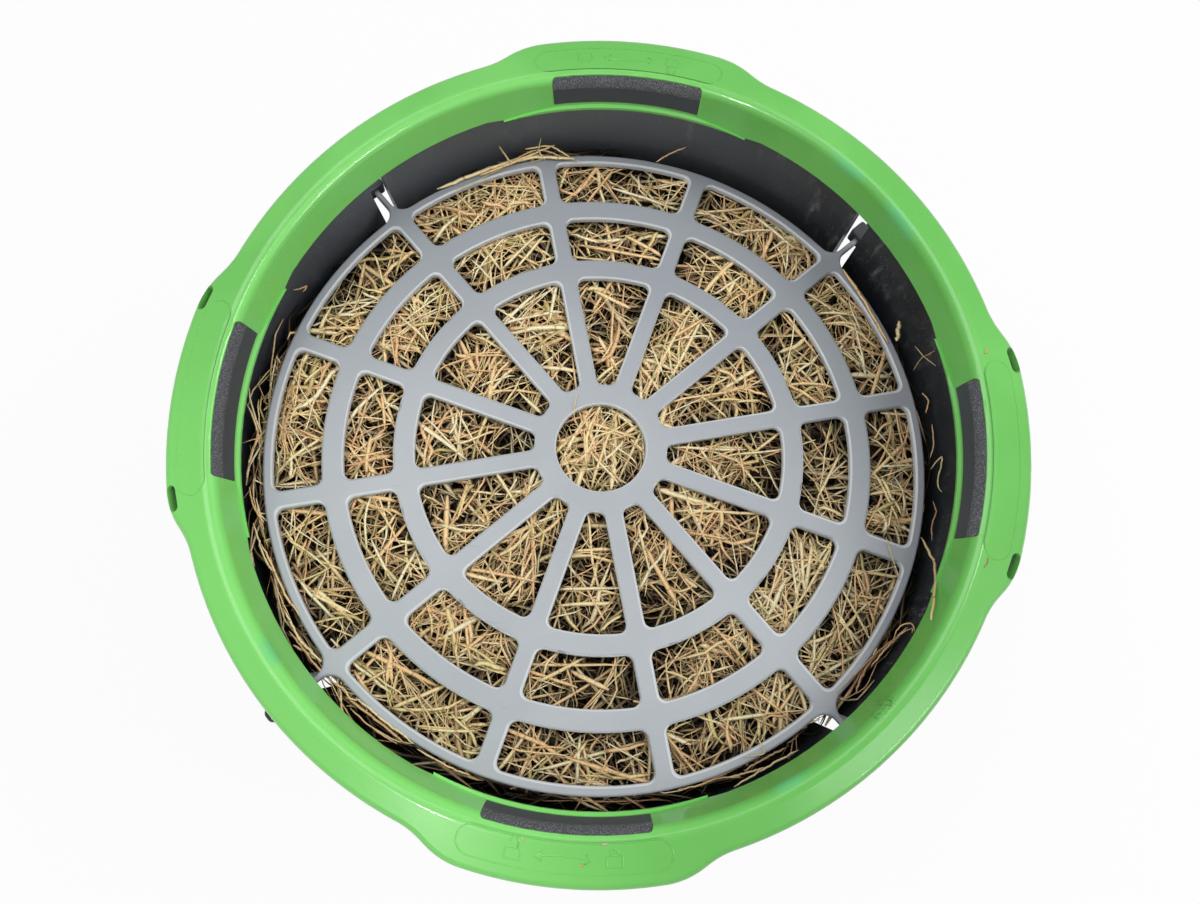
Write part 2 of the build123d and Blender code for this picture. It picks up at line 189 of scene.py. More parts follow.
ringFinish = {
    "green": (117, 204, 97), "deep": (103, 190, 84), "paintedGlint": (96, 206, 150), "shaded": (90, 174, 72),
    "paintedLight": (134, 228, 113), "scuff": (70, 120, 60), "rubbed": (48, 92, 44),
    "shadedOver": (0.18, 0.42), "paintedLightOver": (-0.18, -0.42), "paintedLightBore": (0.2, -0.1),
    "roughness": 0.3, "coat": 0.35, "coatRoughness": 0.07,
    "paintedGlintAt": (39.5, 51, 219, 303), "paintedGlintDepth": (0.016, 0.008), "bore": (0.306, 0.302),
    "rubbedAt": ((0.2302, -0.1931), (0.2318, -0.1905), (0.2283, -0.1958), (0.2231, -0.2015)),
}


def greenPlastic():
    mix = Recipe("greenPlastic")
    cloud = mix.noise(7, 3, 0.5)
    colour = mix.mix(cloud.step(0.35, 0.7), paint(*ringFinish["deep"]), paint(*ringFinish["green"]))
    scuff = mix.noise(90, 5, 0.7).step(0.63, 0.72) * mix.noise(9, 2).step(0.6, 0.7)
    colour = mix.mix(scuff * 0.35, colour, paint(*ringFinish["scuff"]))
    x, y, z = mix.axes()
    # painted shade: the ring darker toward the front right; painted light: lighter toward the front left
    colour = mix.mix((x - y).step(*ringFinish["shadedOver"]) * 0.6, colour, paint(*ringFinish["shaded"]))
    colour = mix.mix((x + y).step(*ringFinish["paintedLightOver"]) * 0.6, colour, paint(*ringFinish["paintedLight"]))
    # painted bluish reflection on the bore, at a few places round it
    turn = y.maths("ARCTAN2", x) / radians(1) + (mix.noise(30, 2) - 0.5) * 6
    paintedGlint = 0
    for centre in ringFinish["paintedGlintAt"]:
        apart = (turn - (centre if centre < 180 else centre - 360)).maths("ABSOLUTE")
        paintedGlint = paintedGlint + apart.step(4, 1)
    away = (x * x + y * y).maths("SQRT") + (mix.noise(60, 2) - 0.5) * 0.003
    inside = away.step(*ringFinish["bore"])
    # painted light: the bore lighter toward its left side
    pale = inside * x.step(*ringFinish["paintedLightBore"])
    colour = mix.mix(pale * 0.75, colour, paint(*ringFinish["paintedLight"]))
    paintedGlint = paintedGlint * inside * z.step(*(crestZ - depth for depth in ringFinish["paintedGlintDepth"]))
    colour = mix.mix(paintedGlint * 0.42, colour, paint(*ringFinish["paintedGlint"]))
    # a rubbed patch: squared distance from each of its middles
    rubbed = 0
    for markX, markY in ringFinish["rubbedAt"]:
        apart = (x - markX) * (x - markX) + (y - markY) * (y - markY)
        rubbed = rubbed + apart.step(0.00003, 0.000004)
    rubbed = rubbed * mix.noise(420, 4, 0.8).step(0.5, 0.62)
    colour = mix.mix(rubbed * 0.6, colour, paint(*ringFinish["rubbed"]))
    normal = mix.bump(mix.noise(240, 2), 0.0003, 0.2, mix.bump(mix.noise(9, 1, 0.4), 0.006, 0.25))
    roughness = ringFinish["roughness"] + (mix.noise(900, 2, 0.6) - 0.5) * 0.12 + (cloud - 0.5) * 0.1
    coat = {"Coat_Weight": ringFinish["coat"], "Coat_Roughness": ringFinish["coatRoughness"]}
    return mix.finish(Base_Color=colour, Roughness=roughness, Normal=normal, **coat)


tubFinish = {
    "black": (44, 46, 51), "worn": (64, 67, 72), "paintedWallLight": (119, 123, 130), "dust": (158, 158, 152),
    "paintedWallLightOver": (0.1, 0.34), "roughness": 0.45,
}


def blackPlastic():
    mix = Recipe("blackPlastic")
    cloud = mix.noise(11, 4, 0.6)
    colour = mix.mix(cloud.step(0.4, 0.72), paint(*tubFinish["black"]), paint(*tubFinish["worn"]))
    x, y, z = mix.axes()
    # painted light: the wall lighter toward the rear and left, as if lit there
    paintedWallLight = (y - x * 0.35 + (mix.noise(5, 2) - 0.5) * 0.12).step(*tubFinish["paintedWallLightOver"])
    colour = mix.mix(paintedWallLight * 0.8, colour, paint(*tubFinish["paintedWallLight"]))
    scuff = mix.noise(60, 6, 0.75, mix.stretched((1, 1, 0.25)))
    patch = mix.noise(14, 3, 0.6).step(0.44, 0.62)
    dust = scuff.step(0.52, 0.74) * patch * 0.7
    colour = mix.mix(dust, colour, paint(*tubFinish["dust"]))
    speck = mix.cells(260).step(0.2, 0.05) * mix.noise(35, 2).step(0.48, 0.58)
    colour = mix.mix(speck * 0.8, colour, paint(*tubFinish["dust"]))
    normal = mix.bump(mix.noise(420, 3, 0.6), 0.0004, 0.4, mix.bump(scuff, 0.0006, 0.3))
    roughness = tubFinish["roughness"] + dust * 0.4 + (cloud - 0.5) * 0.2
    return mix.finish(Base_Color=colour, Roughness=roughness, Normal=normal)


gripFinish = {
    "smooth": (65, 70, 75), "grain": ((76, 78, 83), (142, 143, 150)), "band": 0.0155, "blur": 0.0012,
    "roughness": 0.5,
}


def gripPlastic():
    mix = Recipe("gripPlastic")
    x, y, z = mix.axes()
    edge = crestZ - gripFinish["band"]
    band = z.step(edge - gripFinish["blur"], edge + gripFinish["blur"])
    grain = mix.cells(1200)
    fleck = mix.noise(1000, 2, 0.6)
    tone = mix.mix(fleck.step(0.42, 0.72), *[paint(*tone) for tone in gripFinish["grain"]])
    colour = mix.mix(band, paint(*gripFinish["smooth"]), tone)
    normal = mix.bump(grain * band, 0.0009, 1.0, mix.bump(mix.noise(300, 3), 0.0003, 0.3))
    return mix.finish(Base_Color=colour, Roughness=gripFinish["roughness"] + band * 0.12, Normal=normal)


tilt = {"angle": 5.9, "toward": 55.5, "depth": 0.08178, "thickness": 0.006, "shift": (0.002, -0.0009)}
lean = (
    sin(radians(tilt["angle"])) * cos(radians(tilt["toward"])),
    sin(radians(tilt["angle"])) * sin(radians(tilt["toward"])),
    cos(radians(tilt["angle"])),
)
windows = {"tiers": ((0.0575, 0.1588), (0.1771, 0.2182), (0.2367, 0.2765)), "bar": 0.00775, "hub": 0.0388}


# height of the grille's top face over a point of the plan
def grilleZ(x, y):
    rise = lean[0] * (x - tilt["shift"][0]) + lean[1] * (y - tilt["shift"][1])
    return crestZ - tilt["depth"] - rise / lean[2]


# rim is a painted shade toward the grille's rim and rear; edge is a painted highlight line round its windows
grilleFinish = {
    "grey": (178, 182, 187), "shade": (169, 174, 180), "scratch": (202, 206, 210), "edge": (226, 229, 232),
    "hair": (104, 108, 114), "rim": (146, 150, 158), "roughness": 0.3, "corner": 0.0065,
    "line": (-0.0016, -0.0009), "paintedRimShadeOver": (0.05, 0.36),
}


# 1 in a thin line on the bars along their windows' edges, where a highlight is painted: how far a point is
# inside a window with round corners, which is just under 0 there; turn is in spoke steps from a window's
# middle
def edgeHighlight(mix, radius, turn):
    fold = (turn - turn.maths("ROUND")).maths("ABSOLUTE")
    aside = radius * ((0.5 - fold) * radians(30)).maths("SINE") - windows["bar"]
    first, *others = [(radius - low).maths("MINIMUM", high - radius) for low, high in windows["tiers"]]
    within = first
    for other in others:
        within = within.maths("MAXIMUM", other)
    corner = grilleFinish["corner"]
    a = (corner - within).maths("MAXIMUM", 0)
    b = (corner - aside).maths("MAXIMUM", 0)
    room = corner - (a * a + b * b).maths("SQRT")
    return room.maths("MAXIMUM", windows["hub"] - radius).step(*grilleFinish["line"])


def greyPlastic():
    mix = Recipe("greyPlastic")
    cloud = mix.noise(8, 3, 0.55)
    colour = mix.mix(cloud.step(0.35, 0.7), paint(*grilleFinish["shade"]), paint(*grilleFinish["grey"]))
    scratch = mix.noise(40, 4, 0.7, mix.stretched((1, 9, 1), (0, 0, 0.6)))
    colour = mix.mix(scratch.step(0.62, 0.76) * 0.2, colour, paint(*grilleFinish["scratch"]))
    hair = mix.noise(30, 3, 0.6, mix.stretched((1, 14, 1), (0, 0, 1.35))).step(0.68, 0.76)
    colour = mix.mix(hair * 0.3, colour, paint(*grilleFinish["hair"]))
    # painted shade toward the rim and the rear, and a painted highlight line round the windows
    x, y, z = mix.axes()
    across = x - tilt["shift"][0]
    along = (y - tilt["shift"][1]) * lean[2] - (z - grilleZ(*tilt["shift"])) * lean[1]
    radius = (across * across + along * along).maths("SQRT")
    turn = along.maths("ARCTAN2", across) / radians(30)
    paintedRimShade = (x * 0.3 + y * 0.7 + radius * 1.1).step(*grilleFinish["paintedRimShadeOver"])
    colour = mix.mix(paintedRimShade * 0.85, colour, paint(*grilleFinish["rim"]))
    colour = mix.mix(edgeHighlight(mix, radius, turn) * 0.6, colour, paint(*grilleFinish["edge"]))
    normal = mix.bump(mix.noise(500, 2), 0.0002, 0.2, mix.bump(mix.noise(13, 1), 0.005, 0.22))
    roughness = grilleFinish["roughness"] + (cloud - 0.5) * 0.14 + scratch * 0.06
    return mix.finish(Base_Color=colour, Roughness=roughness, Normal=normal)


smallFinish = {
    "keeperPlastic": {"tone": (70, 72, 77), "roughness": 0.45},
    "capPlastic": {"tone": (30, 31, 36), "roughness": 0.2},
}


def darkPlastic(name):
    mix = Recipe(name)
    tone = smallFinish[name]["tone"]
    roughness = smallFinish[name]["roughness"]
    cloud = mix.noise(70, 4, 0.6)
    colour = mix.mix(cloud.step(0.3, 0.75), paint(*tone), paint(*(level + 16 for level in tone)))
    normal = mix.bump(mix.noise(600, 3, 0.6), 0.0003, 0.3)
    return mix.finish(Base_Color=colour, Roughness=roughness + (cloud - 0.5) * 0.15, Normal=normal)


# straw, then orange and brown tans, then olives and greens, then the darkest
hayTones = [
    (0.0, (255, 244, 204)), (0.14, (255, 232, 176)), (0.28, (255, 212, 156)), (0.4, (238, 190, 140)),
    (0.52, (255, 236, 176)), (0.64, (238, 213, 146)), (0.76, (198, 182, 120)), (0.88, (214, 170, 132)),
    (1.0, (158, 110, 78)),
]
hayFinish = {
    "fibre": (140, 104, 64), "shade": (70, 46, 25), "joint": (92, 66, 40), "sunk": (32, 18, 7),
    "shadeOver": (-0.2, 0.4), "sunkShadeOver": (0.005, 0.02), "bulk": ((22, 16, 10), (62, 47, 30)),
}


def hayStalk():
    mix = Recipe("hayStalk")
    along, pick, _ = mix.axes(mix.node("ShaderNodeUVMap", {"uv_map": "stalk"}, {}))
    x, y, z = mix.axes()
    tone = mix.ramp(pick, [(stop, paint(*colour)) for stop, colour in hayTones])
    fibre = mix.noise(300, 3, 0.6)
    tone = mix.mix(fibre.step(0.4, 0.75) * 0.24, tone, paint(*hayFinish["fibre"]))
    # painted shade: the hay darker toward the front right
    tone = mix.mix((x - y).step(*hayFinish["shadeOver"]) * 0.26, tone, paint(*hayFinish["shade"]))
    joint = (along * 2.3 + pick * 11.0).maths("FRACT") > 0.96
    tone = mix.mix(joint * 0.45, tone, paint(*hayFinish["joint"]))
    # painted shade: stalks lying deeper under the grille are darker
    sunk = mix.node("ShaderNodeAttribute", {"attribute_name": "sunk"}, {}, 2)
    tone = mix.mix(sunk.step(*hayFinish["sunkShadeOver"]) * 0.97, tone, paint(*hayFinish["sunk"]))
    return mix.finish(Base_Color=tone, Roughness=0.48, Normal=mix.bump(fibre, 0.0005, 0.5))


def hayDepth():
    mix = Recipe("hayDepth")
    clump = mix.noise(120, 5, 0.7)
    # painted shade: the bulk's dark colours stand for the shade deep in the hay
    colour = mix.mix(clump.step(0.35, 0.7), *[paint(*tone) for tone in hayFinish["bulk"]])
    return mix.finish(Base_Color=colour, Roughness=0.9, Normal=mix.bump(clump, 0.006, 1.0))


green = greenPlastic()
black = blackPlastic()
grip = gripPlastic()
grey = greyPlastic()
keeperGrey = darkPlastic("keeperPlastic")
capBlack = darkPlastic("capPlastic")
stalkFinish = hayStalk()
depthFinish = hayDepth()

nodeFinish = {"locking_ring": green, "tub": black, "grille": grey}
endFinish = {"_grip": grip, "_keeper": keeperGrey, "_cap": capBlack}
for name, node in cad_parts.items():
    finish = nodeFinish.get(name)
    for ending, other in endFinish.items():
        if name.endswith(ending):
            finish = other
    if finish:
        node.data.materials.clear()
        node.data.materials.append(finish)
print("materials made")


# one mesh from points and from lists of faces, each list with one number of corners
def meshFrom(name, points, faceLists, material, uv=None):
    mesh = bpy.data.meshes.new(name)
    faceLists = [np.asarray(faces, np.int32) for faces in faceLists]
    corners = np.concatenate([faces.ravel() for faces in faceLists])
    sides = np.concatenate([np.full(len(faces), faces.shape[1]) for faces in faceLists])
    mesh.vertices.add(len(points))
    mesh.vertices.foreach_set("co", np.asarray(points, np.float32).ravel())
    mesh.loops.add(len(corners))
    mesh.loops.foreach_set("vertex_index", corners)
    mesh.polygons.add(len(sides))
    mesh.polygons.foreach_set("loop_start", (np.cumsum(sides) - sides).astype(np.int32))
    mesh.polygons.foreach_set("use_smooth", np.ones(len(sides), bool))
    mesh.update(calc_edges=True)
    if uv is not None:
        layer = mesh.uv_layers.new(name="stalk")
        layer.data.foreach_set("uv", np.asarray(uv, np.float32)[corners].ravel())
    mesh.validate()
    mesh.materials.append(material)
    made = bpy.data.objects.new(name, mesh)
    bpy.context.scene.collection.objects.link(made)
    return made


# raised lines on the ring's top: an outline on each handle, and marks for unlocked and locked
marks = {
    "radius": 0.319, "halfAngle": 14.3, "halfHeight": 0.0118, "line": 0.0011, "stroke": 0.0017,
    "rise": 0.00045, "lock": 0.037, "arrow": 0.021, "crest": 0.3035, "slope": 0.34,
    "bend": 0.0028, "barbs": ((0.0046, 0.0046), (0.0056, -0.0024)),
}
lockShape = {
    "half": 0.005, "foot": -0.0052, "top": 0.0016, "corner": 0.0008,
    "bow": 0.0032, "bowFoot": 0.0026, "bowMiddle": 0.0042, "opened": 0.0032, "bowEnd": 0.001,
}


# a closed ridge along a line of (along, outward) points on a handle, with a half-round section
def ridge(line, closed, width, turned):
    line = np.asarray(line, float)
    ahead = np.roll(line, -1, 0) - np.roll(line, 1, 0)
    if not closed:
        ahead[0] = line[1] - line[0]
        ahead[-1] = line[-1] - line[-2]
    ahead /= np.linalg.norm(ahead, axis=1)[:, None]
    across = np.stack([-ahead[:, 1], ahead[:, 0]], 1)
    offset = np.array([-0.5, -0.32, 0, 0.32, 0.5, 0])
    height = np.array([-0.5, 0.72, 1, 0.72, -0.5, -0.7]) * marks["rise"]
    flat = line[:, None, :] + across[:, None, :] * (offset * width)[None, :, None]
    # height: the crest's, less the slope times how far out a point is, plus the ridge's own
    radius = marks["radius"] + flat[..., 1]
    angle = radians(turned) + flat[..., 0] / marks["radius"]
    z = crestZ - (radius - marks["crest"]) * marks["slope"] + height[None, :]
    points = np.stack([radius * np.cos(angle), radius * np.sin(angle), z], -1).reshape(-1, 3)
    rows = len(line)
    i, j = np.meshgrid(np.arange(rows if closed else rows - 1), np.arange(6), indexing="ij")
    nextRow = (i + 1) % rows
    k = (j + 1) % 6
    quads = np.stack([i * 6 + j, i * 6 + k, nextRow * 6 + k, nextRow * 6 + j], -1).reshape(-1, 4)
    if not closed:
        last = (rows - 1) * 6
        caps = np.array([(0, 3, 2, 1), (0, 5, 4, 3), (0, 1, 2, 3), (0, 3, 4, 5)])
        caps[2:] += last
        quads = np.concatenate([quads, caps])
    return points, quads


def arc(x, y, radius, start, end, steps=12):  # points round (x, y), from one angle to another
    angle = np.radians(np.linspace(start, end, steps))
    return np.stack([x + radius * np.cos(angle), y + radius * np.sin(angle)], 1)


# a padlock's lines: a body with round corners, and a bow that stands higher and ends free when it is open
def padlock(x, opened):
    lock = lockShape
    corners = [(-1, "foot", 180), (1, "foot", 270), (1, "top", 0), (-1, "top", 90)]
    rounds = [
        arc(x + side * lock["half"], lock[level], lock["corner"], start, start + 90, 5)
        for side, level, start in corners
    ]
    bow = arc(x, lock["bowMiddle"] + (lock["opened"] if opened else 0), lock["bow"], 0, 180)
    end = bow[-1:] - [[0, lock["bowEnd"]]] if opened else [(x - lock["bow"], lock["bowFoot"])]
    shackle = np.concatenate([[(x + lock["bow"], lock["bowFoot"])], bow, end])
    return [(np.concatenate(rounds), True), (shackle, False)]


# an arrow's lines: a shaft bent as a parabola, with a head at each end
def arrow(reach):
    along = np.linspace(-reach, reach, 24)
    drop = marks["bend"] / 2
    shaft = np.stack([along, marks["bend"] * (1 - (along / reach) ** 2) - drop], 1)
    lines = [(shaft, False)]
    for side in (-1, 1):
        tip = np.array([side * reach, -drop])
        upper, lower = [tip + (-side * back, out) for back, out in marks["barbs"]]
        lines.append((np.array([upper, tip, lower]), False))
    return lines


# all ridges of one handle: an outline with round ends and, if marked, an arrow between two padlocks
def panel(turned, marked):
    straight = marks["radius"] * radians(marks["halfAngle"]) - marks["halfHeight"]
    right = arc(straight, 0, marks["halfHeight"], -90, 90, 20)
    lower = np.stack([np.linspace(-straight, straight, 60)[1:-1], np.full(58, -marks["halfHeight"])], 1)
    outline = np.concatenate([lower, right, -lower, -right])
    lines = [(outline, True, marks["line"])]
    if marked:
        strokes = padlock(-marks["lock"], True) + arrow(marks["arrow"]) + padlock(marks["lock"], False)
        lines += [(stroke * [1, -1], closed, marks["stroke"]) for stroke, closed in strokes]
    pointSets, quadSets, total = [], [], 0
    for line, closed, width in lines:
        points, quads = ridge(line, closed, width, turned)
        pointSets.append(points)
        quadSets.append(quads + total)
        total += len(points)
    return np.concatenate(pointSets), np.concatenate(quadSets)


for side, turned in handles.items():
    points, quads = panel(turned, side in ("front", "rear"))
    raised = meshFrom(f"{side}_panel", points, [quads], green)
    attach(raised, "ring")
print("handle marks made")


hayLook = {
    "seed": 7, "pieces": 6, "each": 2400, "surface": 0.005, "layers": 0.028, "bulge": 0.011,
    "under": 0.0085, "over": 0.0015, "edge": 0.012, "rim": 0.2875, "gap": 0.282,
    "sag": 0.03, "sagOver": (0.283, 0.295), "heap": 0.011, "heapOver": (0.287, 0.293),
    "wall": 0.3012, "wallHeight": 0.52, "taper": 0.0227, "pinch": 0.032, "keep": 0.13, "bulkKeep": 0.107,
}
sectorAngle = 2 * pi / hayLook["pieces"]
# how full the gap between the grille's rim and the tub is, at compass angles
gapFill = [
    (0, 0.6), (25, 0.5), (40, 0.15), (60, 0.3), (80, 0.1), (95, 0.5), (108, 1), (120, 0.6), (130, 0.15),
    (150, 0.5), (165, 0.9), (180, 1.2), (230, 1.2), (245, 0.9), (270, 0.7), (300, 0.9), (330, 0.9),
    (360, 0.6),
]
hayKinds = {
    "stem": {
        "share": 0.27, "length": (0.03, 0.12), "width": (0.0011, 0.0025), "flat": 0.75, "curl": 0.08,
        "kinks": 0.04, "tones": (0.0, 0.5), "lean": 1.3, "depth": 1.2,
    },
    "blade": {
        "share": 0.32, "length": (0.022, 0.085), "width": (0.0018, 0.0044), "flat": 0.16, "curl": 0.2,
        "kinks": 0.06, "tones": (0.0, 0.85), "lean": 1.2, "depth": 1.2,
    },
    "fine": {
        "share": 0.37, "length": (0.012, 0.06), "width": (0.0006, 0.0012), "flat": 0.8, "curl": 0.3,
        "kinks": 0.04, "tones": (0.2, 1.0), "lean": 0.8, "depth": 1.2,
    },
    "straw": {
        "share": 0.055, "length": (0.035, 0.11), "width": (0.0026, 0.005), "flat": 0.3, "curl": 0.03,
        "kinks": 0.02, "tones": (0.0, 0.3), "lean": 1.0, "depth": 2.6,
    },
}
draw = np.random.default_rng(hayLook["seed"])


# four-sided tubes along lines of points, closed at their ends: a section's points lie half a width to the
# left and right of the line, and half a thickness above and below it, turned about the line by roll
def tubes(line, width, flat, roll, pick):
    count, rows = line.shape[:2]
    ahead = np.gradient(line, axis=1)
    ahead /= np.linalg.norm(ahead, axis=2)[..., None] + 1e-12
    side = np.stack([-ahead[..., 1], ahead[..., 0], np.zeros((count, rows))], -1)
    side /= np.linalg.norm(side, axis=2)[..., None] + 1e-12
    up = np.cross(ahead, side)
    # a width is full in the middle and narrows with the third power of the way to either end
    t = np.abs(np.linspace(-1, 1, rows))[None, :, None]
    half = (width * 0.5)[:, None, None] * np.clip(1.25 - 0.85 * t ** 3, 0.3, 1)
    roll = roll[..., None]
    a = (side * np.cos(roll) + up * np.sin(roll)) * half
    b = (up * np.cos(roll) - side * np.sin(roll)) * half * flat
    points = np.stack([line + a, line + b, line - a, line - b], 2).reshape(-1, 3)
    base = np.arange(count)[:, None, None] * rows * 4
    row = np.arange(rows - 1)[None, :, None] * 4
    j = np.arange(4)[None, None, :]
    first, second = base + row + j, base + row + (j + 1) % 4
    quads = np.stack([first, first + 4, second + 4, second], -1).reshape(-1, 4)
    near = base[:, 0, 0, None] + np.array([0, 1, 2, 3])[None, :]
    far = base[:, 0, 0, None] + (rows - 1) * 4 + np.array([3, 2, 1, 0])[None, :]
    along = np.broadcast_to(np.linspace(0, 1, rows)[None, :, None], (count, rows, 4))
    uv = np.stack([along, np.broadcast_to(pick[:, None, None], along.shape)], -1).reshape(-1, 2)
    return points, np.concatenate([quads, near, far]), uv


strandLook = {"steps": 6, "kink": 0.8, "rise": 0.35, "twist": 0.9, "roll": 0.5, "short": 2.0, "thin": 2.2}


# scattered strands: each point lies one step on from the last, and the heading and pitch of the steps change
# by random amounts away from the middle one
def strandMesh(centre, heading, pitch, kind):
    count, steps = len(centre), strandLook["steps"]
    low, high = kind["length"]
    length = low + (high - low) * draw.random(count) ** strandLook["short"]
    low, high = kind["width"]
    width = low + (high - low) * draw.random(count) ** strandLook["thin"]
    kinked = draw.random((count, steps)) < kind["kinks"]
    kinks = np.where(kinked, draw.normal(0, strandLook["kink"], (count, steps)), 0)
    turns = np.cumsum(draw.normal(0, kind["curl"], (count, steps)) + kinks, 1)
    rises = np.cumsum(draw.normal(0, kind["curl"] * strandLook["rise"], (count, steps)), 1)
    h = heading[:, None] + turns - turns[:, steps // 2, None]
    p = pitch[:, None] + rises - rises[:, steps // 2, None]
    step = np.stack([np.cos(h) * np.cos(p), np.sin(h) * np.cos(p), np.sin(p)], -1)
    step *= (length / steps)[:, None, None]
    line = np.concatenate([np.zeros((count, 1, 3)), np.cumsum(step, 1)], 1)
    line = settle(line - line.mean(1)[:, None] + centre[:, None], centre)
    twist = np.linspace(-0.5, 0.5, steps + 1)[None, :] * draw.normal(0, strandLook["twist"], count)[:, None]
    roll = draw.normal(0, strandLook["roll"], count)[:, None] + twist
    low, high = kind["tones"]
    pick = low + (high - low) * draw.random(count) ** kind["lean"]
    return tubes(line, width, kind["flat"], roll, pick)


# one piece of hay from several sets of strands
def joined(name, sets):
    counts = np.cumsum([0] + [len(points) for points, _, _ in sets])
    quads = np.concatenate([faces + start for (_, faces, _), start in zip(sets, counts)])
    uv = np.concatenate([uv for _, _, uv in sets])
    points = np.concatenate([points for points, _, _ in sets])
    made = meshFrom(name, points, [quads], stalkFinish, uv)
    # how deep each point lies under the grille's top, which sets its painted shade: height of that plane
    # minus height of the point
    layer = made.data.attributes.new("sunk", "FLOAT", "POINT")
    layer.data.foreach_set("value", (grilleZ(points[:, 0], points[:, 1]) - points[:, 2]).astype(np.float32))
    return made


def scatter(count, reach, sector):  # even over one sector of a disc
    radius = reach * np.sqrt(draw.random(count))
    angle = (sector + draw.random(count)) * sectorAngle
    return radius * np.cos(angle), radius * np.sin(angle)


def ramp(value, start, end):  # 0 before start, 1 after end
    return np.clip((value - start) / (end - start), 0, 1)


# 0 under the grille's bars, 1 in the middle of its windows
def windowShare(x, y):
    x, y = x - tilt["shift"][0], y - tilt["shift"][1]
    radius = np.hypot(x, y)
    turn = (np.degrees(np.arctan2(y, x)) % 30) - 15
    aside = radius * np.abs(np.sin(np.radians(turn))) - windows["bar"]
    tiers = [np.minimum(radius - low, high - radius) for low, high in windows["tiers"]]
    room = np.maximum(np.minimum(np.maximum.reduce(tiers), aside), windows["hub"] - radius)
    return ramp(room, 0, hayLook["edge"])


def mound(x, y):  # gentle hills in the hay's surface: a sine times a cosine, plus a sine aslant
    return 0.005 * np.sin(x * 21 + 1.0) * np.cos(y * 17 - 0.4) + 0.003 * np.sin(x * 47 - y * 39 + 2.0)


# strands lie along the grille's slope, dip under its bars, sag in the gap outside it, and stop at the wall
def settle(line, centre):
    x, y, z = line[..., 0], line[..., 1], line[..., 2]
    radius = np.hypot(x, y)
    limit = np.where(np.hypot(centre[:, 0], centre[:, 1]) > hayLook["gap"], hayLook["wall"], hayLook["rim"])
    inward = np.minimum(limit[:, None] / radius, 1)
    x, y = x * inward, y * inward
    z = z + grilleZ(x, y) - grilleZ(centre[:, 0], centre[:, 1])[:, None]
    fill = np.interp(np.degrees(np.arctan2(y, x)) % 360, *zip(*gapFill))
    z = z - hayLook["sag"] * (1 - fill) * ramp(radius, *hayLook["sagOver"])
    ceiling = grilleZ(x, y) - hayLook["under"] + (hayLook["under"] + hayLook["over"]) * windowShare(x, y)
    ceiling = ceiling + hayLook["heap"] * ramp(radius, *hayLook["heapOver"])
    over = z - ceiling
    return np.stack([x, y, np.where(over > 0, ceiling - 0.0005 - over * 0.15, z)], -1)


hayReach = hayHigh.x - 0.004


# gives a piece of hay its own copy of its mesh
def flatten(piece):
    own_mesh(piece)


for sector in range(hayLook["pieces"]):
    sets = []
    for kind in hayKinds.values():
        count = int(hayLook["each"] * kind["share"])
        x, y = scatter(count, hayReach, sector)
        top = grilleZ(x, y) - tilt["thickness"] - hayLook["surface"] + mound(x, y)
        depth = hayLook["layers"] * draw.random(count) ** kind["depth"]
        top += hayLook["bulge"] * windowShare(x, y) - depth
        heading = draw.random(count) * 2 * pi + 0.6 * np.sin(x * 31 + y * 12)
        besideWall = np.arctan2(x, -y) + draw.normal(0, 0.28, count)
        heading = np.where(np.hypot(x, y) > hayLook["gap"], besideWall, heading)
        centre = np.stack([x, y, top], -1)
        sets.append(strandMesh(centre, heading, draw.normal(0, 0.1, count), kind))
    strands = joined(f"hay_stalks_{sector + 1}", sets)
    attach(strands, "tub")
    flatten(strands)


# loose stalks, laid by where the camera sees them in its frame: points (a third number lifts a point more),
# lift, width, flatness, tone
onPlate = {
    "rearRightLong": ([(843, 269), (863, 299), (888, 343)], 0.002, 0.0028, 0.5, 0.3),
    "rearCurl": ([(517, 158), (536, 149), (552, 152), (566, 160)], 0.002, 0.0014, 0.6, 0.45),
    "rearBits": ([(530, 163), (548, 157), (580, 161)], 0.002, 0.001, 0.7, 0.7),
    "rearLongStraw": ([(437, 189), (489, 169), (531, 155)], 0.003, 0.0034, 0.35, 0.12),
    "rearPaleBlade": ([(489, 168), (535, 156), (574, 159)], 0.004, 0.003, 0.25, 0.1),
    "rearLeftBits": ([(505, 167), (478, 180), (456, 190)], 0.003, 0.0014, 0.5, 0.75),
    "hubThread": ([(577, 393), (573, 415), (583, 438)], 0.002, 0.0009, 0.7, 0.3),
    "hubStraw": ([(615, 417), (614, 450), (611, 489)], -0.003, 0.0056, 0.3, 0.12),
    "frontFold": ([(758, 738), (766, 754), (744, 757)], 0.002, 0.0012, 0.6, 0.55),
    "rightThread": ([(886, 537), (893, 560), (900, 580)], 0.002, 0.001, 0.7, 0.5),
}
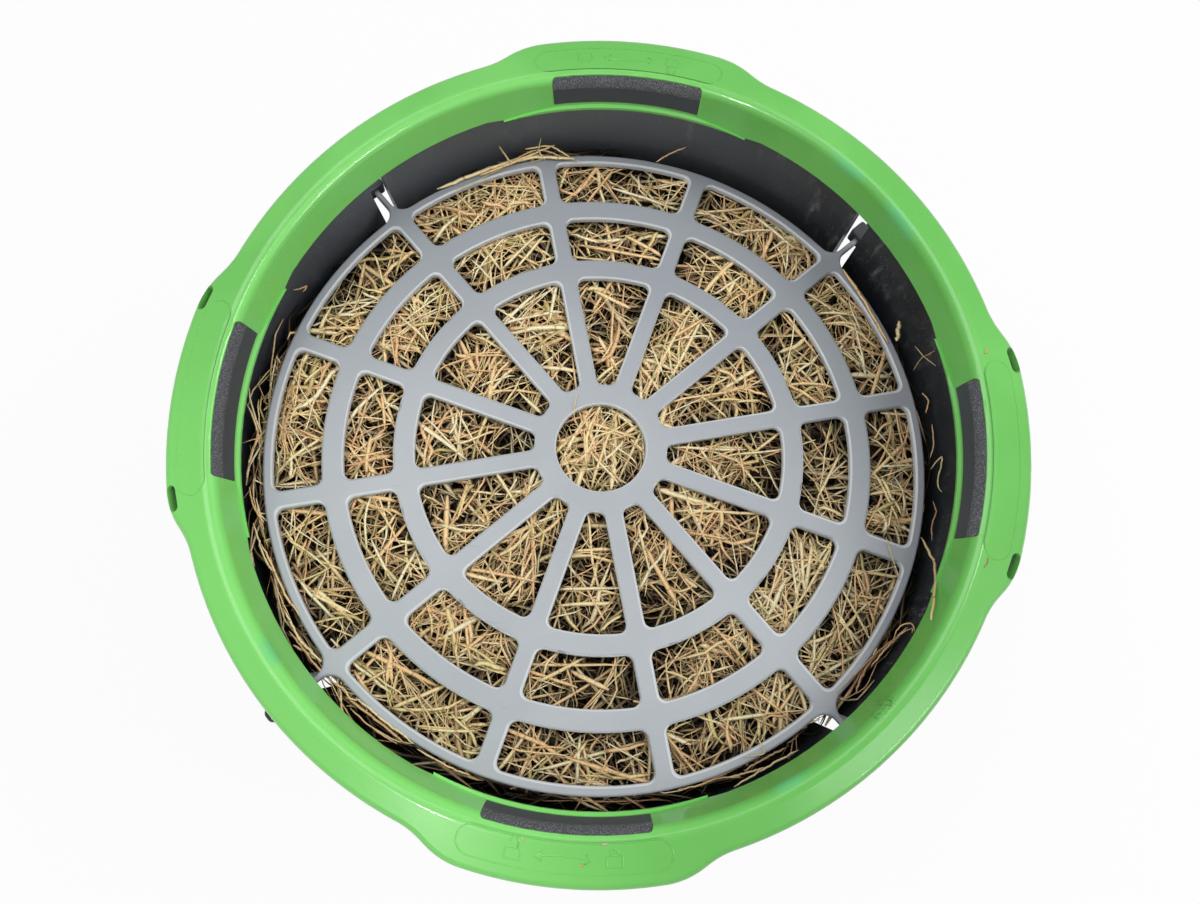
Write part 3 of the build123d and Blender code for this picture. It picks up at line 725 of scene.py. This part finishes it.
inGap = {
    "rearRightStub": ([(899, 321), (897, 341)], 0.004, 0.004, 0.4, 0.1),
    "rearStalk": ([(656, 162), (671, 153), (686, 147)], 0.0025, 0.0016, 0.6, 0.3),
    "rearCrossing": ([(480, 175), (509, 164), (555, 145)], 0.005, 0.0022, 0.4, 0.3),
    "rearUpright": ([(499, 146), (507, 158), (512, 165)], 0.006, 0.0018, 0.5, 0.45),
    "rearHook": ([(525, 149), (550, 145), (570, 157)], 0.006, 0.0016, 0.5, 0.2),
    "rearTwig": ([(541, 138), (538, 150), (545, 160)], 0.007, 0.0012, 0.6, 0.6),
    "rearLeftCurl": ([(293, 290), (300, 289), (308, 285), (303, 292)], 0.004, 0.0014, 0.5, 0.4),
    "rightLoop": ([(930, 470), (944, 453), (936, 487), (942, 492)], -0.004, 0.0015, 0.5, 0.6),
    "rightTop": ([(932, 424), (934, 446), (930, 458)], -0.006, 0.0013, 0.6, 0.3),
    "rightCurl": ([(933, 501), (937, 512), (931, 526), (932, 541)], -0.004, 0.0014, 0.6, 0.9),
    "rightLong": (
        [(921, 537), (934, 559, 0.025), (936, 582, 0.05), (931, 620, 0.074)], 0.0, 0.0026, 0.25, 0.2,
    ),
    "rightSpray": ([(913, 371), (921, 358), (935, 351)], -0.006, 0.0014, 0.6, 0.4),
    "rightSprayLow": ([(915, 346), (924, 357), (936, 366)], -0.006, 0.001, 0.6, 0.55),
    "rightHook": ([(922, 393), (929, 400), (926, 413)], -0.003, 0.0016, 0.5, 0.42),
    "frontRightCurl": ([(893, 640), (898, 626), (912, 622), (915, 631)], -0.002, 0.0016, 0.5, 0.25),
    "frontRightBrown": ([(848, 697), (862, 670), (882, 641)], -0.004, 0.0022, 0.4, 0.95),
    "frontRightBark": ([(855, 694), (868, 664), (879, 652)], -0.003, 0.003, 0.3, 0.9),
    "frontRightLong": ([(836, 694), (855, 675), (878, 651), (901, 634)], 0.0, 0.0014, 0.5, 0.85),
    "frontRightBend": ([(871, 667), (890, 644), (908, 627)], -0.001, 0.002, 0.4, 0.45),
    "frontRightLoop": ([(886, 648), (905, 631), (914, 627), (912, 633)], -0.001, 0.0013, 0.5, 0.3),
    "frontRightPale": ([(786, 732), (805, 725), (820, 719)], -0.002, 0.0018, 0.4, 0.12),
    "frontRightThread": ([(843, 700), (866, 688), (878, 661)], -0.003, 0.001, 0.7, 0.4),
    "frontChain": ([(727, 778), (746, 773), (765, 768)], -0.006, 0.002, 0.4, 0.2),
    "frontPale": ([(734, 787), (767, 767), (799, 750)], -0.003, 0.0024, 0.35, 0.1),
    "frontDry": ([(678, 790), (698, 786), (717, 778)], -0.003, 0.0018, 0.4, 0.3),
    "frontBark": ([(744, 771), (771, 755), (786, 748)], -0.004, 0.0022, 0.4, 0.85),
    "frontChainEnd": ([(700, 787), (716, 778), (741, 777)], -0.006, 0.0014, 0.5, 0.45),
    "frontPink": ([(345, 697), (374, 718), (404, 743)], -0.004, 0.0026, 0.5, 0.36),
    "frontTwist": ([(333, 682), (346, 690), (349, 700), (362, 700)], -0.002, 0.0018, 0.5, 0.2),
    "frontYellow": ([(369, 726), (396, 741), (413, 744)], -0.006, 0.0014, 0.6, 0.1),
    "frontLeftPale": ([(293, 645), (307, 653), (322, 661)], -0.003, 0.0024, 0.4, 0.15),
    "leftLowA": ([(249, 487), (253, 508), (264, 523)], -0.001, 0.002, 0.4, 0.3),
    "leftLowB": ([(253, 523), (264, 559), (279, 580)], -0.001, 0.0024, 0.4, 0.12),
    "leftLowC": ([(261, 544), (274, 569), (284, 595), (299, 616)], 0.0, 0.0026, 0.35, 0.28),
    "leftLowD": ([(276, 590), (284, 621), (307, 646)], -0.002, 0.0016, 0.4, 0.45),
    "leftLowE": ([(284, 610), (299, 641), (321, 662)], 0.0, 0.003, 0.3, 0.14),
    "leftLowF": ([(289, 631), (309, 657), (325, 677)], -0.001, 0.002, 0.4, 0.4),
    "leftLowG": ([(256, 498), (259, 520), (268, 548)], -0.002, 0.0014, 0.5, 0.75),
    "leftLowH": ([(270, 556), (277, 590), (290, 618)], -0.002, 0.0014, 0.5, 0.2),
    "frontLeftA": ([(356, 698), (386, 723), (414, 744)], -0.001, 0.0024, 0.4, 0.1),
    "frontLeftB": ([(350, 708), (371, 728), (397, 744)], -0.003, 0.0018, 0.4, 0.35),
    "frontLeftC": ([(417, 749), (448, 767), (470, 776)], -0.002, 0.002, 0.4, 0.2),
    "leftStalk": ([(259, 428), (255, 444), (248, 463)], -0.004, 0.002, 0.4, 0.4),
    "leftThread": ([(254, 478), (253, 500), (264, 530)], -0.003, 0.0016, 0.5, 0.2),
}


# where the camera's line through a pixel meets the grille's slope, lifted, or the tub's wall before it
def placed(px, py, lift):
    way = lineThrough(px, py)
    normal = Vector(lean)
    on = Vector((*tilt["shift"], crestZ - tilt["depth"])) + normal * lift - seenFrom.translation
    share = on.dot(normal) / way.dot(normal)
    point = seenFrom.translation + way * share
    while point.xy.length > hayLook["wall"] + (point.z - hayLook["wallHeight"]) * hayLook["taper"]:
        share *= 0.998
        point = seenFrom.translation + way * share
    return point


looseLook = {"rows": 17, "smoothing": 4, "wobble": 0.12, "roll": 0.4}


# each stalk's corners are joined by evenly spaced points, which are smoothed by averaging neighbours
def looseStalks(name, stalks, body, land=placed):
    sets = []
    rows = looseLook["rows"]
    for corners, lift, width, flat, tone in stalks.values():
        height = lift + width * flat / 2
        corners = np.array([land(px, py, sum(raised, height)) for px, py, *raised in corners])
        gone = np.concatenate([[0], np.cumsum(np.linalg.norm(np.diff(corners, axis=0), axis=1))])
        even = np.linspace(0, gone[-1], rows)
        line = np.stack([np.interp(even, gone, corners[:, k]) for k in range(3)], 1)
        for _ in range(looseLook["smoothing"]):
            line[1:-1] = (line[:-2] + line[1:-1] * 2 + line[2:]) / 4
        line[1:-1, :2] += draw.normal(0, width * looseLook["wobble"], (rows - 2, 2))
        roll = np.full((1, rows), looseLook["roll"])
        sets.append(tubes(line[None], np.array([width]), flat, roll, np.array([tone])))
    made = joined(name, sets)
    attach(made, body)
    return made


looseStalks("loose_stalks", onPlate, "plate")

# bits on the ring: points, width, flatness, tone
crumbs = {
    "frontUpper": ([(601.5, 844.6), (607.5, 844)], 0.0018, 0.5, 0.12),
    "frontLower": ([(580, 865.2), (584.2, 866)], 0.0015, 0.5, 0.3),
    "frontWhisker": ([(521, 836), (523.5, 839), (525, 843)], 0.0009, 0.6, 0.5),
    "rightUpper": ([(984.6, 353), (988, 350.6)], 0.0018, 0.5, 0.35),
    "rightThread": ([(988, 557), (987.5, 563), (984, 568)], 0.001, 0.6, 0.95),
}


def onRing(px, py, lift):  # where the camera's line through a pixel meets the ring's sloping top, lifted
    way = lineThrough(px, py)
    start = seenFrom.translation
    z = crestZ
    for _ in range(6):
        point = start + way * ((z - start.z) / way.z)
        z = crestZ - (point.xy.length - marks["crest"]) * marks["slope"] + lift
    return point


looseStalks("crumbs", {name: (at, 0.0, *rest) for name, (at, *rest) in crumbs.items()}, "ring", onRing)


def sectorOf(corners):  # the sector in which a loose stalk starts
    x, y, _ = placed(*corners[0][:2], 0)
    return atan2(y, x) % (2 * pi) // sectorAngle


for sector in range(hayLook["pieces"]):
    found = {name: stalk for name, stalk in inGap.items() if sectorOf(stalk[0]) == sector}
    if found:
        flatten(looseStalks(f"gap_stalks_{sector + 1}", found, "tub"))

bulkLook = {
    "around": 120, "rings": 36, "below": 0.026, "edgeDrop": 0.012, "draft": 0.013, "footRound": 0.96,
    "levels": (0.97, 0.6, 0.2, 0.0),
}


# the bulk of the hay under the stalks, its dark colour a painted shade: rings of points from the middle of
# its top to its foot; the top follows the grille's slope at a depth, and drops at its edge with the eighth
# power of the radius
def hayBulk():
    count = bulkLook["around"]
    around = np.linspace(0, 2 * pi, count, endpoint=False)
    rows = []
    for share in np.linspace(0.03, 1, bulkLook["rings"]):
        x, y = share * hayReach * np.cos(around), share * hayReach * np.sin(around)
        z = grilleZ(x, y) - tilt["thickness"] - bulkLook["below"] + mound(x, y)
        rows.append(np.stack([x, y, z - bulkLook["edgeDrop"] * share ** 8], -1))
    low = hayLow.z + 0.001
    edge = rows[-1][:, 2]
    for share in bulkLook["levels"]:
        reach = (hayReach - bulkLook["draft"] * (1 - share)) * (1 if share else bulkLook["footRound"])
        z = low + (edge - low) * share
        rows.append(np.stack([reach * np.cos(around), reach * np.sin(around), z], -1))
    middleTop = (0, 0, grilleZ(0, 0) - tilt["thickness"] - bulkLook["below"] + mound(0, 0))
    points = np.concatenate(rows + [[middleTop], [(0, 0, low)]])
    i, j = np.meshgrid(np.arange(len(rows) - 1), np.arange(count), indexing="ij")
    k = (j + 1) % count
    first, second = i * count, (i + 1) * count
    quads = np.stack([first + j, second + j, second + k, first + k], -1).reshape(-1, 4)
    j = np.arange(count)
    k = (j + 1) % count
    last = (len(rows) - 1) * count
    hub = np.full(count, len(points) - 2)
    foot = np.full(count, len(points) - 1)
    fans = [np.stack([hub, j, k], 1), np.stack([foot, last + k, last + j], 1)]
    made = meshFrom("hay_bulk", points, [quads, np.concatenate(fans)], depthFinish)
    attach(made, "tub")
    return made


bulk = hayBulk()
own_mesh(bulk)
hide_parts("hay_fill")
print("hay made")

studio = {"floor": 14.0, "floorTone": 0.9, "floorGlow": 0.9, "world": 0.5}
# place, size, power, whether gloss mirrors it, and whether it lights surfaces or only glints on them
lamps = {
    "keyBox": ((1.85, 0.4, 2.6), (1.5, 1.3), 33.5, False, True),
    "topBox": ((-1.1, 0.5, 3.3), (2.0, 2.0), 32.5, True, True),
    "fillBox": ((-2.2, -1.7, 1.7), (1.6, 1.2), 9, False, True),
    "sideGlint": ((1.85, -1.15, 1.36), (0.9, 0.1), 18, True, False),
    "frontGlint": ((-0.9, -2.0, 2.65), (0.2, 0.2), 18, True, False),
    "slopeGlint": ((1.47, -1.06, 1.9), (0.8, 0.04), 5.04, True, False),
    "plateGlint": ((0.92, 0.27, 2.74), (0.3, 0.3), 4.5, True, False),
}


def floorPaint():
    mix = Recipe("studioFloor")
    diffuse = mix.node("ShaderNodeBsdfDiffuse", {}, {"Color": (*[studio["floorTone"]] * 3, 1)})
    glow = mix.node("ShaderNodeEmission", {}, {"Color": (1, 1, 1, 1), "Strength": 1.0})
    seen = mix.node("ShaderNodeLightPath", {}, {}, "Is Camera Ray")
    both = mix.node("ShaderNodeMixShader", {}, {0: seen * studio["floorGlow"], 1: diffuse, 2: glow})
    mix.tree.links.new(both.socket, mix.output.inputs[0])
    return mix.material


half = studio["floor"] / 2
floorCorners = [(-half, -half, 0), (half, -half, 0), (half, half, 0), (-half, half, 0)]
meshFrom("studio_floor", floorCorners, [[(0, 1, 2, 3)]], floorPaint())

world = bpy.data.worlds.new("softRoom")
bpy.context.scene.world = world
world.use_nodes = True
world.node_tree.nodes["Background"].inputs[0].default_value = (1, 1, 1, 1)
world.node_tree.nodes["Background"].inputs[1].default_value = studio["world"]


def softBox(name, place, size, power, mirrored, lighting):
    lamp = bpy.data.lights.new(name, "AREA")
    lamp.shape = "RECTANGLE"
    lamp.size, lamp.size_y = size
    lamp.energy = power
    made = bpy.data.objects.new(name, lamp)
    made.location = place
    made.rotation_euler = (Vector((0, 0, crestZ)) - Vector(place)).to_track_quat("-Z", "Y").to_euler()
    made.visible_glossy = mirrored
    made.visible_diffuse = lighting
    bpy.context.scene.collection.objects.link(made)


for name, lamp in lamps.items():
    softBox(name, *lamp)
print("lamps placed:", len(lamps))

camera = bpy.data.objects.new("camera", bpy.data.cameras.new("camera"))
camera.data.lens = view["lens"]
camera.data.sensor_width = view["sensor"]
camera.matrix_world = seenFrom
bpy.context.scene.collection.objects.link(camera)
bpy.context.scene.camera = camera
bpy.context.scene.view_settings.view_transform = "Standard"
print("studio made")
